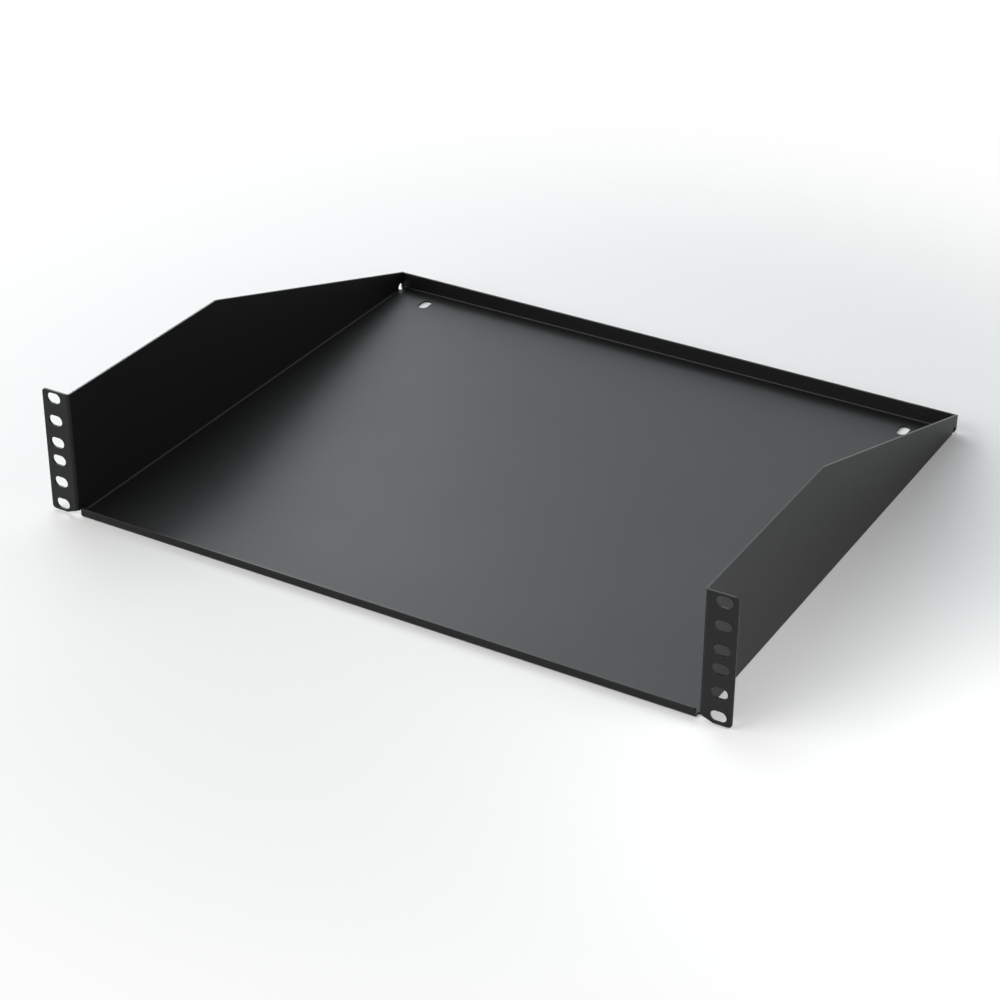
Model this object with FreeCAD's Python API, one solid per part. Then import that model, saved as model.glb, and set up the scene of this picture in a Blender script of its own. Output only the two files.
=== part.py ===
import FreeCAD, Part
import math
import os
from FreeCAD import Vector

# A two-unit rack shelf, cut and folded from one blank of steel sheet: a plain tray
# with two side walls, a rack ear folded outwards at the front of each wall, a low lip
# turned up at the front of the floor and a higher one at its rear.
#
# X is to the right as seen from the front, Y runs from the front to the rear and Z is up.
# The origin is the centre of the rack mounting plane: midway between the two ears, on
# their back faces, at half their height. All lengths are in millimetres.

# The 19-inch rack
panel_width = 482.6        # over both ears
ear_width = 19.4           # from the outside of a side wall to the end of its ear
unit_height = 44.45
units_high = 2
panel_play = 2.1           # how much lower the ears are than the units they fill
screw_from_end = 8.75      # from the end of an ear to the middle of its column of screws
screws_per_unit = 3
screw_step = unit_height * 5 / 14   # between the screws of one unit

# The sheet
thickness = 1.5
bend_radius = 1.0          # on the inside of every fold

# The tray
depth = 393.7              # from the front of the ears to the back of the rear lip
level_top = 158.0          # from the front of the ears to where the walls start to fall
floor_below_ears = 0.8     # from the lower edge of the ears down to the underside

# The lips, whose heights are from the underside of the floor
front_lip_height = 6.8
front_lip_short = 2.0      # from the inside of a side wall to the end of the front lip
rear_lip_height = 13.2     # also where the side walls end
rear_lip_play = 0.1        # between each end of the rear lip and its side wall

# The cuts at the front corners
corner_cut_depth = 5.0     # from the front of the ears back to the floor
corner_cut_height = 3.7    # from the underside of the floor up to the side wall
ear_bevel_run = 7.5        # sideways length of the slanted cut under each ear
ear_corner_radius = 2.5

# The slits beside the ends of the rear lip, and the round relief in each wall they run into
slit_past_fold = 0.5       # how far they run past the fold of the lip
relief_width = 5.6
relief_from_rear = 5.2
relief_above_fold = 0.5    # from the top of the floor's fold up to the middle of the relief

# The slots for the rack screws, which lie level
screw_slot_height = 7.1
screw_slot_length = 10.3

# The two slots in the floor near the rear corners, which run from front to rear
floor_slot_width = 7.3
floor_slot_length = 13.0
floor_slot_from_side = 31.0
floor_slot_from_rear = 18.8

# Places worked out from the sizes
fold = thickness + bend_radius
top = (units_high * unit_height - panel_play) / 2
ear_bottom = -top
bottom = ear_bottom - floor_below_ears
front = -thickness
rear = front + depth
ear_end = panel_width / 2
wall_outside = ear_end - ear_width
wall_inside = wall_outside - thickness
wall_middle = wall_outside - thickness / 2
floor_middle = bottom + thickness / 2
floor_front = front + corner_cut_depth
floor_rear = rear - fold - slit_past_fold
tool_length = 2 * panel_width


def unit(vector):
    """The direction of a vector, as a vector one millimetre long."""
    return vector / vector.Length


def side_edges(corners, normal, shift):
    """Edges beside the middle line of a folded sheet, with an arc at each fold.

    corners are the sharp corners of the middle line, in the plane across normal. The edges
    lie shift to the left of the line, so a shift of half the sheet gives one face of it.
    """
    middle_radius = bend_radius + thickness / 2
    heading = unit(corners[1] - corners[0])
    start = corners[0] + normal.cross(heading) * shift
    edges = []
    for corner, following in zip(corners[1:], corners[2:]):
        turned = unit(following - corner)
        hand = math.copysign(1, heading.cross(turned).dot(normal))
        run_in = middle_radius * math.tan(heading.getAngle(turned) / 2)
        arc_start = corner - heading * run_in
        arc_end = corner + turned * run_in
        centre = arc_start + normal.cross(heading) * hand * middle_radius
        outward = unit(corner - centre)
        first = arc_start + normal.cross(heading) * shift
        halfway = centre + outward * (middle_radius - hand * shift)
        last = arc_end + normal.cross(turned) * shift
        edges.append(Part.makeLine(start, first))
        edges.append(Part.Arc(first, halfway, last).toShape())
        start = last
        heading = turned
    edges.append(Part.makeLine(start, corners[-1] + normal.cross(heading) * shift))
    return edges


def folded_strip(corners, length):
    """A strip of the sheet, folded along its length.

    corners are the sharp corners of the middle line of its section, and length is the
    vector along which the section is carried.
    """
    normal = unit(length)
    one_face = side_edges(corners, normal, thickness / 2)
    other_face = side_edges(corners, normal, -thickness / 2)
    cut_ends = []
    for place in (0, -1):
        near = one_face[place].Vertexes[place].Point
        far = other_face[place].Vertexes[place].Point
        cut_ends.append(Part.makeLine(near, far))
    outline = Part.Wire(Part.__sortEdges__(one_face + other_face + cut_ends))
    return Part.Face(outline).extrude(length)


def prism(points, length):
    """A straight block on a closed outline of points."""
    outline = Part.makePolygon(points + [points[0]])
    return Part.Face(outline).extrude(length)


def slot_tool(centre, long_way, through, length, width):
    """A round-ended block that cuts a slot through a sheet which lies across through."""
    reach = long_way * ((length - width) / 2)
    side = through.cross(long_way) * (width / 2)
    cap = long_way * (length / 2)
    edges = [
        Part.makeLine(centre - reach + side, centre + reach + side),
        Part.Arc(centre + reach + side, centre + cap, centre + reach - side).toShape(),
        Part.makeLine(centre + reach - side, centre - reach - side),
        Part.Arc(centre - reach - side, centre - cap, centre - reach + side).toShape(),
    ]
    depth_of_cut = through * (4 * thickness)
    face = Part.Face(Part.Wire(edges))
    face.translate(depth_of_cut / -2)
    return face.extrude(depth_of_cut)


def make_channel():
    """The floor and the two side walls, behind the cuts at the front of the floor."""
    corners = [
        Vector(-wall_middle, floor_front, top),
        Vector(-wall_middle, floor_front, floor_middle),
        Vector(wall_middle, floor_front, floor_middle),
        Vector(wall_middle, floor_front, top),
    ]
    return folded_strip(corners, Vector(0, rear - floor_front, 0))


def make_ear(side):
    """The front end of one side wall with its ear folded outwards; side is -1 or 1."""
    corners = [
        Vector(side * wall_middle, floor_front, ear_bottom),
        Vector(side * wall_middle, front + thickness / 2, ear_bottom),
        Vector(side * ear_end, front + thickness / 2, ear_bottom),
    ]
    ear = folded_strip(corners, Vector(0, 0, top - ear_bottom))
    outer_corners = []
    for edge in ear.Edges:
        at_end = abs(abs(edge.CenterOfMass.x) - ear_end) < thickness / 100
        runs_through = abs(edge.tangentAt(edge.FirstParameter).y) > 0.5
        if at_end and runs_through:
            outer_corners.append(edge)
    return ear.makeFillet(ear_corner_radius, outer_corners)


def make_front_cut():
    """The cut under the front ends of the side walls, which slants down to the ears' lower edge."""
    level = bottom + corner_cut_height
    fall = 2 * (level - ear_bottom)
    run = 2 * ear_bevel_run
    points = [
        Vector(-wall_outside - run, front, level - fall),
        Vector(-wall_outside, front, level),
        Vector(wall_outside, front, level),
        Vector(wall_outside + run, front, level - fall),
    ]
    return prism(points, Vector(0, corner_cut_depth, 0))


def make_wall_outline():
    """A block with the side walls' outline: level at the front, then falling to the rear lip."""
    points = [
        Vector(-tool_length / 2, front, bottom),
        Vector(-tool_length / 2, front, top),
        Vector(-tool_length / 2, front + level_top, top),
        Vector(-tool_length / 2, rear, bottom + rear_lip_height),
        Vector(-tool_length / 2, rear, bottom),
    ]
    return prism(points, Vector(tool_length, 0, 0))


def make_front_lip():
    """The lip turned up along the front of the floor, level with the fronts of the ears."""
    half = wall_inside - front_lip_short
    lip_middle = front + thickness / 2
    corners = [
        Vector(-half, floor_front, floor_middle),
        Vector(-half, lip_middle, floor_middle),
        Vector(-half, lip_middle, bottom + front_lip_height),
    ]
    return folded_strip(corners, Vector(2 * half, 0, 0))


def make_rear_lip():
    """The lip turned up along the rear of the floor, standing between the side walls."""
    half = wall_inside - rear_lip_play
    lip_middle = rear - thickness / 2
    corners = [
        Vector(-half, floor_rear, floor_middle),
        Vector(-half, lip_middle, floor_middle),
        Vector(-half, lip_middle, bottom + rear_lip_height),
    ]
    return folded_strip(corners, Vector(2 * half, 0, 0))


def make_rear_opening():
    """What is cut from the channel to make room for the rear lip and its fold."""
    corner = Vector(-wall_inside, floor_rear, bottom)
    return Part.makeBox(2 * wall_inside, rear - floor_rear, fold, corner)


def make_corner_relief(side):
    """The round hole through the foot of one side wall, beside the fold of the rear lip."""
    start = Vector(side * (wall_outside - fold), rear - relief_from_rear,
                   bottom + fold + relief_above_fold)
    return Part.makeCylinder(relief_width / 2, 2 * fold, start, Vector(side, 0, 0))


def make_screw_slots(side):
    """The level slots of one ear: the three screws of each unit, evenly apart."""
    slots = []
    for unit_number in range(units_high):
        unit_middle = (unit_number - (units_high - 1) / 2) * unit_height
        for screw in range(screws_per_unit):
            height = unit_middle + (screw - (screws_per_unit - 1) / 2) * screw_step
            centre = Vector(side * (ear_end - screw_from_end), front + thickness / 2, height)
            slots.append(slot_tool(centre, Vector(1, 0, 0), Vector(0, 1, 0),
                                   screw_slot_length, screw_slot_height))
    return slots


def make_floor_slot(side):
    """One of the two slots near the rear corners of the floor."""
    centre = Vector(side * (wall_outside - floor_slot_from_side),
                    rear - floor_slot_from_rear, floor_middle)
    return slot_tool(centre, Vector(0, 1, 0), Vector(0, 0, 1),
                     floor_slot_length, floor_slot_width)


def make_shelf():
    """The whole folded sheet as one solid."""
    channel = make_channel().common(make_wall_outline())
    channel = channel.cut(make_rear_opening())
    ears = [make_ear(side).cut(make_front_cut()) for side in (-1, 1)]
    sheet = channel.fuse(ears + [make_front_lip(), make_rear_lip()])
    holes = [make_corner_relief(side) for side in (-1, 1)]
    holes += [make_floor_slot(side) for side in (-1, 1)]
    holes += make_screw_slots(-1) + make_screw_slots(1)
    sheet = sheet.cut(holes).removeSplitter()
    return sheet.Solids[0]


os.makedirs("parts", exist_ok=True)
shelf = make_shelf()
shelf.exportStep("parts/shelf.step")
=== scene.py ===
import math

import bpy
import numpy as np
from mathutils import Matrix, Vector
from mathutils.geometry import delaunay_2d_cdt


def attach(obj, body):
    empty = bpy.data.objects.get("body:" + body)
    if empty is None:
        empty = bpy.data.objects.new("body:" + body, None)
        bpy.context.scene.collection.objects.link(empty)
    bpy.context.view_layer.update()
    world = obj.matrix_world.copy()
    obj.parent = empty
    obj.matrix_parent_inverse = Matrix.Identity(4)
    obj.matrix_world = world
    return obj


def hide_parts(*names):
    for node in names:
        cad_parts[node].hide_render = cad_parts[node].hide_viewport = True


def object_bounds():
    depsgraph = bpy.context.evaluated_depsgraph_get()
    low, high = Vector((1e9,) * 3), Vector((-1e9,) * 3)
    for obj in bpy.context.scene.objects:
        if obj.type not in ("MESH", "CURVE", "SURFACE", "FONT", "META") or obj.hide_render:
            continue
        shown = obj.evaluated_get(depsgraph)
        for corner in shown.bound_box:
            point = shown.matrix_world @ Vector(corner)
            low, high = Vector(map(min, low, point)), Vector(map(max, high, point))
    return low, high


# A two-unit rack shelf in satin black powder coat, made as the real one is: a flat blank
# with its holes, folded up. X is to the right seen from the front, Y runs to the rear and
# Z is up. The sheet is worked out in millimetres and the scene is in metres.

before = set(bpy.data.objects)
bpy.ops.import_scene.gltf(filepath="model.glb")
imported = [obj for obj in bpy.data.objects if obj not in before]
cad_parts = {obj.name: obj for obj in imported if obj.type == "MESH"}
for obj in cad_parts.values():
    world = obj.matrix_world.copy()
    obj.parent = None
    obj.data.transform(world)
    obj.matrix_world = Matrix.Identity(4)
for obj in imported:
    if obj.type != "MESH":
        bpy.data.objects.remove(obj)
cad_low, cad_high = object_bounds()
scene = bpy.context.scene

MM = 0.001
QUARTER_TURN = math.pi / 2
WHITE = (1, 1, 1, 1)

# The photograph's camera
AZIMUTH, ELEVATION, ROLL = math.radians(29.8817), math.radians(30.3103), math.radians(0.3957)
DISTANCE = 1699.03 * MM
AIM = Vector((-18.917, 188.5, -67.313)) * MM
FOCAL_PIXELS, IMAGE_PIXELS = 2550.1, 1000
SENSOR_WIDTH = 36
CLIP_START, CLIP_END = 0.01, 100

# The sheet and its folds, all of 90 degrees and of one radius
THICKNESS = 1.5
FOLD = 2.5                              # from an outer face back to the start of the fold
MIDDLE_RADIUS = FOLD - THICKNESS / 2
FOLD_LENGTH = MIDDLE_RADIUS * QUARTER_TURN
EDGE_RADIUS = 0.3                       # the coat's own rounding of every cut edge
CORNER_RADIUS = 0.6                     # of the blank's small corners

# How finely the sheet is divided
FOLD_STEPS, EDGE_STEPS = 10, 4
ARC_STEP = math.radians(11)
SLOT_END_POINTS, RELIEF_POINTS = 17, 33
OVERRUN = 1.0                           # how far fold lines run on past the blank's outline
SAME_POINT = 1e-5                       # points of the blank closer than this become one

# Sizes of the folded shelf
HALF_WIDTH = 221.9
FRONT, REAR = -1.5, 392.2
BOTTOM, TOP = -44.2, 43.4
EAR_BOTTOM, EAR_END, EAR_RADIUS = -43.4, 241.3, 2.5
LEVEL_END = 156.5                       # where the walls start to fall
FRONT_LIP, REAR_LIP = 6.8, 13.2         # heights above the underside
FRONT_LIP_END, REAR_LIP_END = 218.4, 220.3
CUT_DEPTH, CUT_HEIGHT, BEVEL_RUN = 5.0, 3.7, 7.5
SCREW_COLUMN, SCREW_SLOT = 232.55, (10.3, 7.1)
SCREW_ROWS = (-38.1, -22.225, -6.35, 6.35, 22.225, 38.1)
FLOOR_SLOT_PLACE, FLOOR_SLOT = (190.9, 373.4), (13.0, 7.3)
RELIEF_PLACE, RELIEF_RADIUS = (387.0, 3.0), 2.8   # depth, height above the underside

# Where the folds start in the flat blank, and the lines that part its pieces
FLOOR_HALF = HALF_WIDTH - FOLD
WALL_START = FLOOR_HALF + FOLD_LENGTH
FRONT_BEND, REAR_BEND = FRONT + FOLD, REAR - FOLD
EAR_START = FLOOR_HALF + 0.1            # between the front lip's end and the ear's foot
SLIT = REAR_LIP_END + 0.1               # between the rear lip's end and the wall's edge

# The powder coat: its colour and gloss, and its roughness on the faces, of which the share
# EDGE_ROUGHNESS is left at the cut edges. The scales are in waves to the metre.
COAT_COLOUR = (0.0053, 0.0055, 0.0059, 1)
COAT_GLOSS = 0.24
SMOOTHEST, ROUGHEST = 0.40, 0.46
EDGE_ROUGHNESS = 0.78
PEEL_SCALE, PEEL_STRENGTH, PEEL_HEIGHT = 750.0, 0.9, 0.06 * MM
DRIFT_SCALE = 14.0
NOISE_DETAIL, NOISE_ROUGHNESS = 3.0, 0.55

# The lamps: name, middle, point they are turned to, width and height, radiance and colour
LAMPS = [
    ("rear_left_softbox", (-1.2, 1.9, 2.2), (0, 0.2, 0), (2.4, 1.6), 2.8, (0.87, 1, 1.03)),
    ("front_left_softbox", (-1.5, -1.5, 1.2), (0, 0.1, 0), (2.4, 1.8), 4.5, (1.01, 1, 0.985)),
    ("front_softbox", (0.3, -2.0, 1.4), (0, 0.1, 0), (2.4, 1.4), 0.5, (1.01, 1, 0.97)),
    ("left_softbox", (-2.0, 1.2, 1.0), (0, 0.2, 0), (2.2, 1.6), 4.0, (0.98, 1, 1.01)),
    ("right_floor_softbox", (0.45, 0.0, 0.2), (0.33, 0.0, -0.044), (0.2, 0.2), 5.6, (1, 1, 1)),
]

# The floor that the shelf lies on, and the white that the camera and the gloss see in it
FLOOR_SIZE = 6.0
FLOOR_GAP = 0.02 * MM                   # from the floor up to the shelf's underside
FADE_START, FADE_END = 0.25, 0.72       # how far from its middle the floor fades into white
FLOOR_COLOUR = (0.70, 0.70, 0.70, 1)
FLOOR_WHITE = 0.19


def left_of(way):
    """The directions to the left of the ways given, each of length one."""
    return np.stack([-way[:, 1], way[:, 0]], 1) / np.linalg.norm(way, axis=1)[:, None]


def mitred(both, distance):
    """How to move a corner so that each of its two sides moves by a distance. Both is the sum
    of the sides' unit directions: it is taken times twice the distance over its square."""
    return distance * both * 2 / (both ** 2).sum(1)[:, None]


def arc(angles):
    """Points of the unit circle: the cosine and the sine of each angle."""
    return np.stack([np.cos(angles), np.sin(angles)], 1)


def rounded(corners, radii):
    """A closed outline with its corners rounded. The arc at a corner starts on the side that
    leads to it, the radius times the tangent of half the turn before the corner, and goes
    round a centre that lies one radius to the hand of the turn."""
    corners = np.array(corners)
    befores, afters = np.roll(corners, 1, 0), np.roll(corners, -1, 0)
    outline = []
    for before, corner, after, radius in zip(befores, corners, afters, radii):
        if radius == 0:
            outline.append(corner[None])
            continue
        way_in = (corner - before) / np.linalg.norm(corner - before)
        way_out = (after - corner) / np.linalg.norm(after - corner)
        across = way_in[0] * way_out[1] - way_in[1] * way_out[0]
        turn = math.atan2(across, way_in @ way_out)
        hand = math.copysign(1, turn)
        left = np.array([-way_in[1], way_in[0]])
        centre = corner - way_in * radius * math.tan(abs(turn) / 2) + hand * radius * left
        first = math.atan2(way_in[1], way_in[0]) - hand * QUARTER_TURN
        steps = 2 + int(abs(turn) / ARC_STEP)
        outline.append(centre + radius * arc(first + np.linspace(0, turn, steps)))
    return np.concatenate(outline)


def slot_outline(across, along, length, width):
    """A slot with round ends, long in the second direction: two half circles of half its
    width, each with its centre half of length less width from the middle."""
    end = width / 2 * arc(np.linspace(0, math.pi, SLOT_END_POINTS)) + (0, (length - width) / 2)
    return np.concatenate([end, -end]) + (across, along)


def blank_height(height):
    """How far from the middle of the blank a point of a wall at this height lies."""
    return WALL_START + height - (BOTTOM + FOLD)


def blank_depth(reach):
    """How far back in the blank a point of an ear at this distance from the middle lies."""
    return FRONT_BEND - FOLD_LENGTH - (reach - HALF_WIDTH + THICKNESS / 2 - MIDDLE_RADIUS)


def relief_outline(wall_edge):
    """The round relief in the foot of the right wall, from the wall's edge the long way
    round to the end of the rear lip. The cosine of the angle at each end is how far that
    end lies to the side of the centre over the radius."""
    centre = np.array([blank_height(BOTTOM + RELIEF_PLACE[1]), RELIEF_PLACE[0]])
    start = math.acos((wall_edge - centre[0]) / RELIEF_RADIUS)
    end = math.acos((REAR_LIP_END - centre[0]) / RELIEF_RADIUS) - 2 * math.pi
    return centre + RELIEF_RADIUS * arc(np.linspace(start, end, RELIEF_POINTS))


def blank_outline():
    """The blank's outline: the right half from front to rear, and the left half mirrored.

    The lips and the ears are as long past their folds as when folded. The slant under an ear
    starts where its fold crosses the plane of the wall's outer face, and the foot of the
    wall's rear edge is where its fold crosses the plane of the inner face. One less the
    cosine of the first angle, and the sine of the second, is the way there over the radius."""
    cut = FRONT + CUT_DEPTH
    foot = blank_height(BOTTOM + CUT_HEIGHT)
    ear_foot = blank_height(EAR_BOTTOM)
    ear_end = blank_depth(EAR_END)
    bevel_start = FRONT_BEND - MIDDLE_RADIUS * math.acos(1 - THICKNESS / 2 / MIDDLE_RADIUS)
    bevel_end = blank_depth(HALF_WIDTH + BEVEL_RUN)
    front_lip = FRONT_BEND - FOLD_LENGTH - (FRONT_LIP - FOLD)
    rear_lip = REAR_BEND + FOLD_LENGTH + (REAR_LIP - FOLD)
    wall_edge = FLOOR_HALF + MIDDLE_RADIUS * math.asin((FOLD - THICKNESS) / MIDDLE_RADIUS)
    right = [
        ((FRONT_LIP_END, front_lip), CORNER_RADIUS),
        ((FRONT_LIP_END, cut), CORNER_RADIUS),
        ((foot, cut), CORNER_RADIUS),
        ((foot, bevel_start), CORNER_RADIUS),
        ((ear_foot, bevel_end), CORNER_RADIUS),
        ((ear_foot, ear_end), EAR_RADIUS),
        ((blank_height(TOP), ear_end), EAR_RADIUS),
        ((blank_height(TOP), LEVEL_END), CORNER_RADIUS),
        ((blank_height(BOTTOM + REAR_LIP), REAR), CORNER_RADIUS),
        ((wall_edge, REAR), CORNER_RADIUS),
        *((point, 0) for point in relief_outline(wall_edge).tolist()),
        ((REAR_LIP_END, rear_lip), CORNER_RADIUS),
    ]
    left = [((-across, along), radius) for (across, along), radius in reversed(right)]
    corners, radii = zip(*right, *left)
    return rounded(corners, radii)


def blank_holes():
    """The outlines of the blank's slots: six in each ear and one near each rear corner."""
    column = blank_depth(SCREW_COLUMN)
    holes = []
    for side in (-1, 1):
        holes += [slot_outline(side * blank_height(row), column, *SCREW_SLOT) for row in SCREW_ROWS]
        holes.append(slot_outline(side * FLOOR_SLOT_PLACE[0], FLOOR_SLOT_PLACE[1], *FLOOR_SLOT))
    return holes


def moved_sideways(outline, distance):
    """An outline with each of its sides moved to the left by a distance."""
    left = left_of(np.roll(outline, -1, 0) - outline)
    return outline + mitred(left + np.roll(left, 1, 0), distance)


def inside(points, outlines):
    """Which points lie in the sheet: those from which a line to the right crosses the
    outlines an odd number of times."""
    crossings = np.zeros(len(points), int)
    for first in outlines:
        last = np.roll(first, -1, 0)
        spans = (first[:, 1] > points[:, 1:2]) != (last[:, 1] > points[:, 1:2])
        rise = np.where(last[:, 1] == first[:, 1], 1, last[:, 1] - first[:, 1])
        share = (points[:, 1:2] - first[:, 1]) / rise
        reach = first[:, 0] + share * (last[:, 0] - first[:, 0])
        crossings += (spans & (points[:, :1] < reach)).sum(1)
    return crossings % 2 == 1


def fold_lines():
    """Lines across the blank that divide each fold evenly, as pairs of end points. Those of
    the walls start beside the front cut, and where they meet the rear lip they end at it."""
    steps = np.linspace(0, FOLD_LENGTH, FOLD_STEPS + 1)
    across = blank_height(TOP) + OVERRUN
    lines = [((-across, FRONT_BEND - step), (across, FRONT_BEND - step)) for step in steps]
    lines += [((-SLIT, REAR_BEND + step), (SLIT, REAR_BEND + step)) for step in steps]
    for step in steps:
        end = REAR + OVERRUN if FLOOR_HALF + step > SLIT else REAR_BEND
        for side in (-1, 1):
            place = side * (FLOOR_HALF + step)
            lines.append(((place, FRONT + CUT_DEPTH / 2), (place, end)))
    return lines


def flat_blank():
    """The face of the blank inside its rounded edges, as points and triangles: a triangle
    mesh of outlines and fold lines, of which the triangles inside the sheet are kept."""
    outlines = [moved_sideways(blank_outline(), EDGE_RADIUS)]
    outlines += [moved_sideways(hole[::-1], EDGE_RADIUS) for hole in blank_holes()]
    points, edges = [], []
    for outline in outlines:
        places = len(points) + np.arange(len(outline))
        edges += np.stack([places, np.roll(places, -1)], 1).tolist()
        points += outline.tolist()
    for line in fold_lines():
        edges.append((len(points), len(points) + 1))
        points += line
    points, _, triangles, *_ = delaunay_2d_cdt(points, edges, [], 0, SAME_POINT)
    points, triangles = np.array(points), np.array(triangles)
    triangles = triangles[inside(points[triangles].mean(1), outlines)]
    used, triangles = np.unique(triangles, return_inverse=True)
    return points[used], triangles.reshape(-1, 3)


def rim_of(points, triangles):
    """The sides of a mesh of triangles that only one triangle has, as their first and last
    points, and the outward direction at each first point: of length one, and mitred."""
    sides = np.stack([triangles, np.roll(triangles, -1, 1)], 2).reshape(-1, 2)
    there, back = sides @ (len(points), 1), sides @ (1, len(points))
    start, end = sides[~np.isin(there, back)].T
    outward = -left_of(points[end] - points[start])
    both = np.zeros_like(points)
    both[start] += outward
    both[end] += outward
    both = both[start]
    return start, end, both / np.linalg.norm(both, axis=1)[:, None], mitred(both, 1)


def past_fold(run):
    """Where a fold takes a point that lies this far past its start: the angle, which is the
    run over the middle radius and at most a quarter turn, how far ahead, the radius times
    the angle's sine, and how far up, the radius times one less its cosine and what is left
    of the run."""
    angle = np.clip(run / MIDDLE_RADIUS, 0, QUARTER_TURN)
    up = MIDDLE_RADIUS * (1 - np.cos(angle)) + np.maximum(run - FOLD_LENGTH, 0)
    return angle, MIDDLE_RADIUS * np.sin(angle), up


def folded(across, along):
    """Where the middle of the sheet goes when the blank is folded, and its three directions:
    the blank's two and the one up from its face.

    The walls fold up from the floor first. Their fold fades out towards the rear lip, which
    doesn't have it. Then the ears fold outwards and the lips fold up."""
    side, reach = np.sign(across), np.abs(across)
    forward, beside_slit = along < FRONT_BEND, reach < SLIT
    ear = forward & (reach > EAR_START)
    lip = (forward & ~ear) | ((along > REAR_BEND) & beside_slit)

    fade = np.where(lip, 0, np.clip((REAR_BEND - along) / FOLD, 0, 1))
    run = (reach - FLOOR_HALF) * np.where(beside_slit, fade, 1)
    lean, ahead, rise = past_fold(run)
    lean = np.where(ear, QUARTER_TURN, lean)
    x = np.where(run > 0, FLOOR_HALF + ahead, reach)
    x = np.where(ear, FLOOR_HALF + MIDDLE_RADIUS, x)
    z = BOTTOM + THICKNESS / 2 + np.where(ear, MIDDLE_RADIUS + run - FOLD_LENGTH, rise)

    way = np.where(forward, -1, 1)
    bend_start = np.where(forward, FRONT_BEND, REAR_BEND)
    bend, ahead, rise = past_fold(np.where(forward | lip, way * (along - bend_start), 0))
    x = side * (x + np.where(ear, rise, 0))
    y = np.where(forward | lip, bend_start + way * ahead, along)
    z = z + np.where(ear, 0, rise)

    zero = np.zeros_like(reach)
    wall_across = np.stack([np.cos(lean), zero, side * np.sin(lean)], 1)
    wall_up = np.stack([-side * np.sin(lean), zero, np.cos(lean)], 1)
    lip_along = np.stack([zero, np.cos(bend), way * np.sin(bend)], 1)
    lip_up = np.stack([zero, -way * np.sin(bend), np.cos(bend)], 1)
    ear_along = np.stack([-side * np.sin(bend), np.cos(bend), zero], 1)
    ear_up = np.stack([-side * np.cos(bend), -np.sin(bend), zero], 1)
    ear, bent = ear[:, None], bend[:, None] > 0
    up = np.where(ear, ear_up, np.where(bent, lip_up, wall_up))
    return np.stack([x, y, z], 1), wall_across, np.where(ear, ear_along, lip_along), up


def unfolded_points(flat, start, direction, mitre):
    """The points of the sheet before it is folded: their places in the blank, their heights
    above its middle, and the outward and the upward part of their normals.

    The two faces are first, half the thickness above and below. The rows of the rim then
    turn from one to the other over two quarter circles, outwards by the edge radius times
    the angle's sine, and up from the circle's centre by that radius times its cosine."""
    half = THICKNESS / 2
    quarter = np.linspace(0, QUARTER_TURN, EDGE_STEPS + 1)[1:]
    turn = np.concatenate([quarter, math.pi - quarter[::-1]])
    centre = (half - EDGE_RADIUS) * np.repeat([1, -1], EDGE_STEPS * len(start))[:, None]
    angle = np.repeat(turn, len(start))[:, None]
    which = np.tile(np.arange(len(start)), len(turn))
    face = np.repeat([1, -1], len(flat))[:, None]
    rim = flat[start[which]] + mitre[which] * EDGE_RADIUS * np.sin(angle)
    place = np.concatenate([flat, flat, rim])
    height = np.concatenate([half * face, centre + EDGE_RADIUS * np.cos(angle)])
    outward = np.concatenate([np.zeros((2 * len(flat), 2)), direction[which] * np.sin(angle)])
    return place, height, outward, np.concatenate([face, np.cos(angle)])


def sheet_faces(triangles, count, start, end):
    """The faces of the sheet: the triangles, the same turned over for the underside, and a
    band of four-sided faces from each row of the rim to the next."""
    order = np.empty(count, int)
    order[start] = np.arange(len(start))
    following = order[end]
    rim = 2 * count + np.arange(2 * EDGE_STEPS * len(start))
    rows = np.concatenate([start, rim, start + count]).reshape(-1, len(start))
    upper, lower = rows[:-1], rows[1:]
    bands = np.stack([upper, lower, lower[:, following], upper[:, following]], 2)
    underside = triangles[:, ::-1] + count
    return [*triangles.tolist(), *underside.tolist(), *bands.reshape(-1, 4).tolist()]


def folded_sheet(name):
    """The whole shelf as one mesh. A point lies its height above the middle of the folded
    sheet, and the length of its normal's outward part marks the cut edges for the coat."""
    flat, triangles = flat_blank()
    start, end, direction, mitre = rim_of(flat, triangles)
    place, height, outward, upward = unfolded_points(flat, start, direction, mitre)
    middle, across, along, up = folded(*place.T)
    vertices = (middle + height * up) * MM
    normals = across * outward[:, :1] + along * outward[:, 1:] + up * upward
    cut_edge = np.linalg.norm(outward, axis=1)
    mesh = bpy.data.meshes.new(name)
    mesh.from_pydata(vertices.tolist(), [], sheet_faces(triangles, len(flat), start, end))
    mesh.shade_smooth()
    mesh.normals_split_custom_set_from_vertices(normals.tolist())
    mesh.attributes.new("cut_edge", "FLOAT", "POINT").data.foreach_set("value", cut_edge)
    sheet = bpy.data.objects.new(name, mesh)
    scene.collection.objects.link(sheet)
    return sheet


def node(tree, kind, **inputs):
    """A shader node with the named inputs set to numbers, colours or other nodes' outputs."""
    made = tree.nodes.new(kind)
    for name, value in inputs.items():
        socket = made.inputs[name.replace("_", " ")]
        if isinstance(value, bpy.types.NodeSocket):
            tree.links.new(value, socket)
        else:
            socket.default_value = value
    return made


def combined(tree, operation, first, second):
    """The output of a Math node for two other nodes' outputs."""
    maths = tree.nodes.new("ShaderNodeMath")
    maths.operation = operation
    tree.links.new(first, maths.inputs[0])
    tree.links.new(second, maths.inputs[1])
    return maths.outputs["Value"]


def new_material(name):
    """A material with an empty node tree and its output node."""
    material = bpy.data.materials.new(name)
    material.use_nodes = True
    tree = material.node_tree
    tree.nodes.clear()
    return material, tree, tree.nodes.new("ShaderNodeOutputMaterial")


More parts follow.
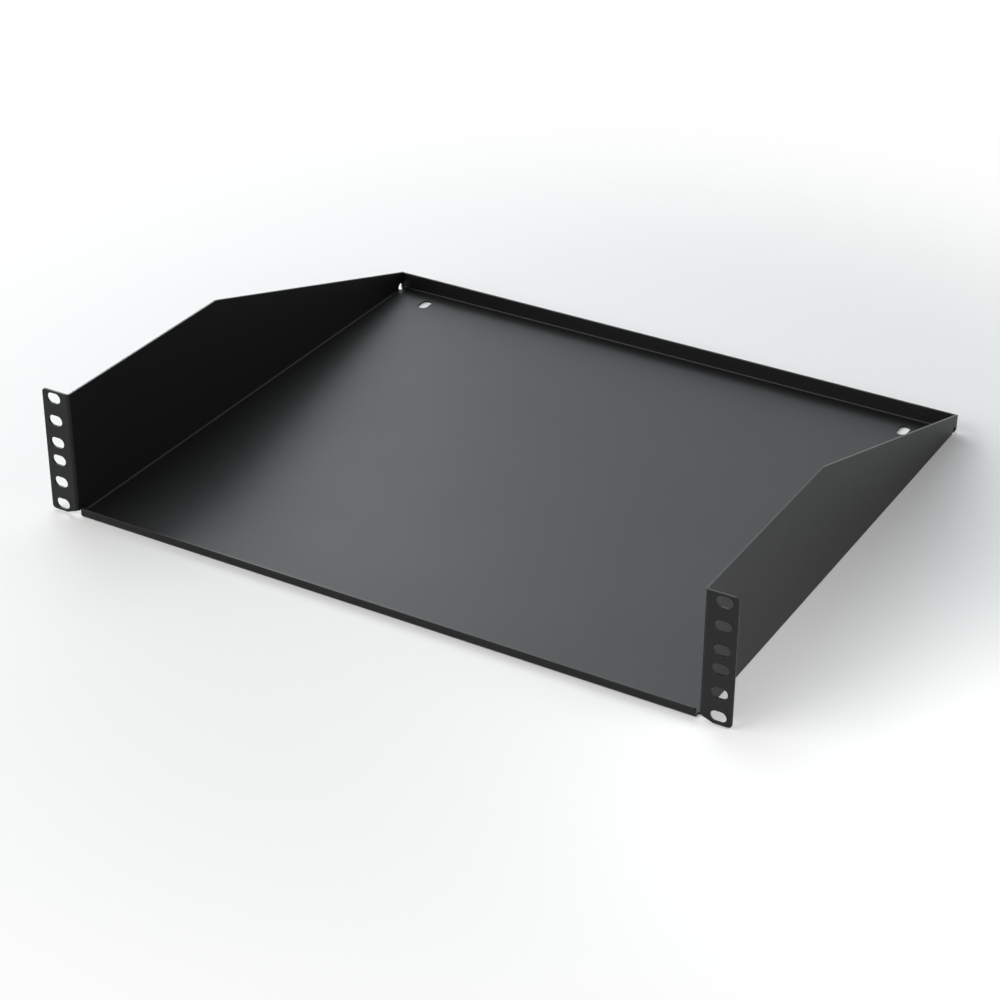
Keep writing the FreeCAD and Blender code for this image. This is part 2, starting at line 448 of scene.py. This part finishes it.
def powder_coat():
    """Satin black powder coat: a fine orange peel, a roughness that wanders a little over
    the faces, and a smoother, thinner film where the coat is drawn round the cut edges."""
    material, tree, output = new_material("satin_black_powder_coat")
    place = tree.nodes.new("ShaderNodeTexCoord").outputs["Object"]
    grain = {"Vector": place, "Detail": NOISE_DETAIL, "Roughness": NOISE_ROUGHNESS}
    peel = node(tree, "ShaderNodeTexNoise", Scale=PEEL_SCALE, **grain)
    drift = node(tree, "ShaderNodeTexNoise", Scale=DRIFT_SCALE, **grain)
    rough = node(tree, "ShaderNodeMapRange", Value=drift.outputs["Fac"],
                 To_Min=SMOOTHEST, To_Max=ROUGHEST)
    film = tree.nodes.new("ShaderNodeAttribute")
    film.attribute_name = "cut_edge"
    share = node(tree, "ShaderNodeMapRange", Value=film.outputs["Fac"],
                 To_Min=1.0, To_Max=EDGE_ROUGHNESS)
    finish = combined(tree, "MULTIPLY", rough.outputs["Result"], share.outputs["Result"])
    bump = node(tree, "ShaderNodeBump", Height=peel.outputs["Fac"],
                Strength=PEEL_STRENGTH, Distance=PEEL_HEIGHT)
    shader = node(tree, "ShaderNodeBsdfPrincipled", Base_Color=COAT_COLOUR, Roughness=finish,
                  Specular_IOR_Level=COAT_GLOSS, Normal=bump.outputs["Normal"])
    tree.links.new(shader.outputs["BSDF"], output.inputs["Surface"])
    return material


def add_camera():
    """The camera that took the photograph, as worked out from the rack's slot pattern."""
    back = Vector((math.sin(AZIMUTH) * math.cos(ELEVATION),
                   -math.cos(AZIMUTH) * math.cos(ELEVATION), math.sin(ELEVATION)))
    level = (-back).cross(Vector((0, 0, 1))).normalized()
    upright = level.cross(-back)
    right = level * math.cos(ROLL) + upright * math.sin(ROLL)
    up = upright * math.cos(ROLL) - level * math.sin(ROLL)
    turn = Matrix((right, up, back)).transposed()
    data = bpy.data.cameras.new("camera")
    data.sensor_width = SENSOR_WIDTH
    data.lens = FOCAL_PIXELS * SENSOR_WIDTH / IMAGE_PIXELS
    data.clip_start, data.clip_end = CLIP_START, CLIP_END
    camera = bpy.data.objects.new("camera", data)
    camera.matrix_world = Matrix.Translation(AIM + back * DISTANCE) @ turn.to_4x4()
    scene.collection.objects.link(camera)
    scene.camera = camera


def add_softbox(name, place, aim, size, radiance, colour):
    """A soft rectangular lamp at place, turned towards aim. Its power is its radiance times
    pi times its area, and the camera doesn't see it."""
    data = bpy.data.lights.new(name, "AREA")
    data.shape = "RECTANGLE"
    data.size, data.size_y = size
    data.energy = radiance * math.pi * size[0] * size[1]
    data.color = colour
    lamp = bpy.data.objects.new(name, data)
    lamp.location = place
    lamp.rotation_euler = (Vector(aim) - Vector(place)).to_track_quat("-Z", "Y").to_euler()
    lamp.visible_camera = False
    scene.collection.objects.link(lamp)


def seen_directly(tree):
    """1 for the rays of the camera and of glossy or clear surfaces, and 0 for all others."""
    ray = tree.nodes.new("ShaderNodeLightPath").outputs
    reflected = combined(tree, "MAXIMUM", ray["Is Glossy Ray"], ray["Is Transmission Ray"])
    return combined(tree, "MAXIMUM", ray["Is Camera Ray"], reflected)


def pale_floor():
    """The floor's material: matt and pale, with a little white added where it is seen
    directly. It fades into full white with the distance from below the shelf's middle."""
    material, tree, output = new_material("pale_studio_floor")
    seen = seen_directly(tree)
    place = tree.nodes.new("ShaderNodeTexCoord").outputs["Object"]
    to_middle = (0, -(cad_low.y + cad_high.y) / 2, 0)
    centred = node(tree, "ShaderNodeMapping", Vector=place, Location=to_middle)
    reach = tree.nodes.new("ShaderNodeVectorMath")
    reach.operation = "LENGTH"
    tree.links.new(centred.outputs["Vector"], reach.inputs[0])
    fade = node(tree, "ShaderNodeMapRange", Value=reach.outputs["Value"],
                From_Min=FADE_START, From_Max=FADE_END)
    fade.interpolation_type = "SMOOTHERSTEP"
    share = combined(tree, "MULTIPLY", fade.outputs["Result"], seen)
    added = node(tree, "ShaderNodeMapRange", Value=seen, To_Max=FLOOR_WHITE)
    matt = node(tree, "ShaderNodeBsdfDiffuse", Color=FLOOR_COLOUR)
    glow = node(tree, "ShaderNodeEmission", Strength=added.outputs["Result"])
    near = tree.nodes.new("ShaderNodeAddShader")
    tree.links.new(matt.outputs["BSDF"], near.inputs[0])
    tree.links.new(glow.outputs["Emission"], near.inputs[1])
    far = node(tree, "ShaderNodeEmission", Strength=1.0)
    floor_mix = node(tree, "ShaderNodeMixShader", Fac=share)
    tree.links.new(near.outputs["Shader"], floor_mix.inputs[1])
    tree.links.new(far.outputs["Emission"], floor_mix.inputs[2])
    tree.links.new(floor_mix.outputs["Shader"], output.inputs["Surface"])
    return material


def add_floor():
    """A plain square floor just under the shelf."""
    half, height = FLOOR_SIZE / 2, cad_low.z - FLOOR_GAP
    corners = [(x * half, y * half, height) for x, y in ((-1, -1), (1, -1), (1, 1), (-1, 1))]
    mesh = bpy.data.meshes.new("studio_floor")
    mesh.from_pydata(corners, [], [(0, 1, 2, 3)])
    mesh.materials.append(pale_floor())
    floor = bpy.data.objects.new("studio_floor", mesh)
    scene.collection.objects.link(floor)


def light_world():
    """A white world, which the camera and the gloss see and which gives no other light: its
    strength is 1 for their rays and 0 for the rest."""
    world = bpy.data.worlds.new("white_studio")
    world.use_nodes = True
    tree = world.node_tree
    tree.nodes.clear()
    light = node(tree, "ShaderNodeBackground", Color=WHITE, Strength=seen_directly(tree))
    output = tree.nodes.new("ShaderNodeOutputWorld")
    tree.links.new(light.outputs["Background"], output.inputs["Surface"])
    scene.world = world


shelf = folded_sheet("folded_shelf")
shelf.data.materials.append(powder_coat())
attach(shelf, "root")
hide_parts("shelf")

add_camera()
add_floor()
light_world()
for lamp in LAMPS:
    add_softbox(*lamp)

scene.view_settings.view_transform = "Standard"
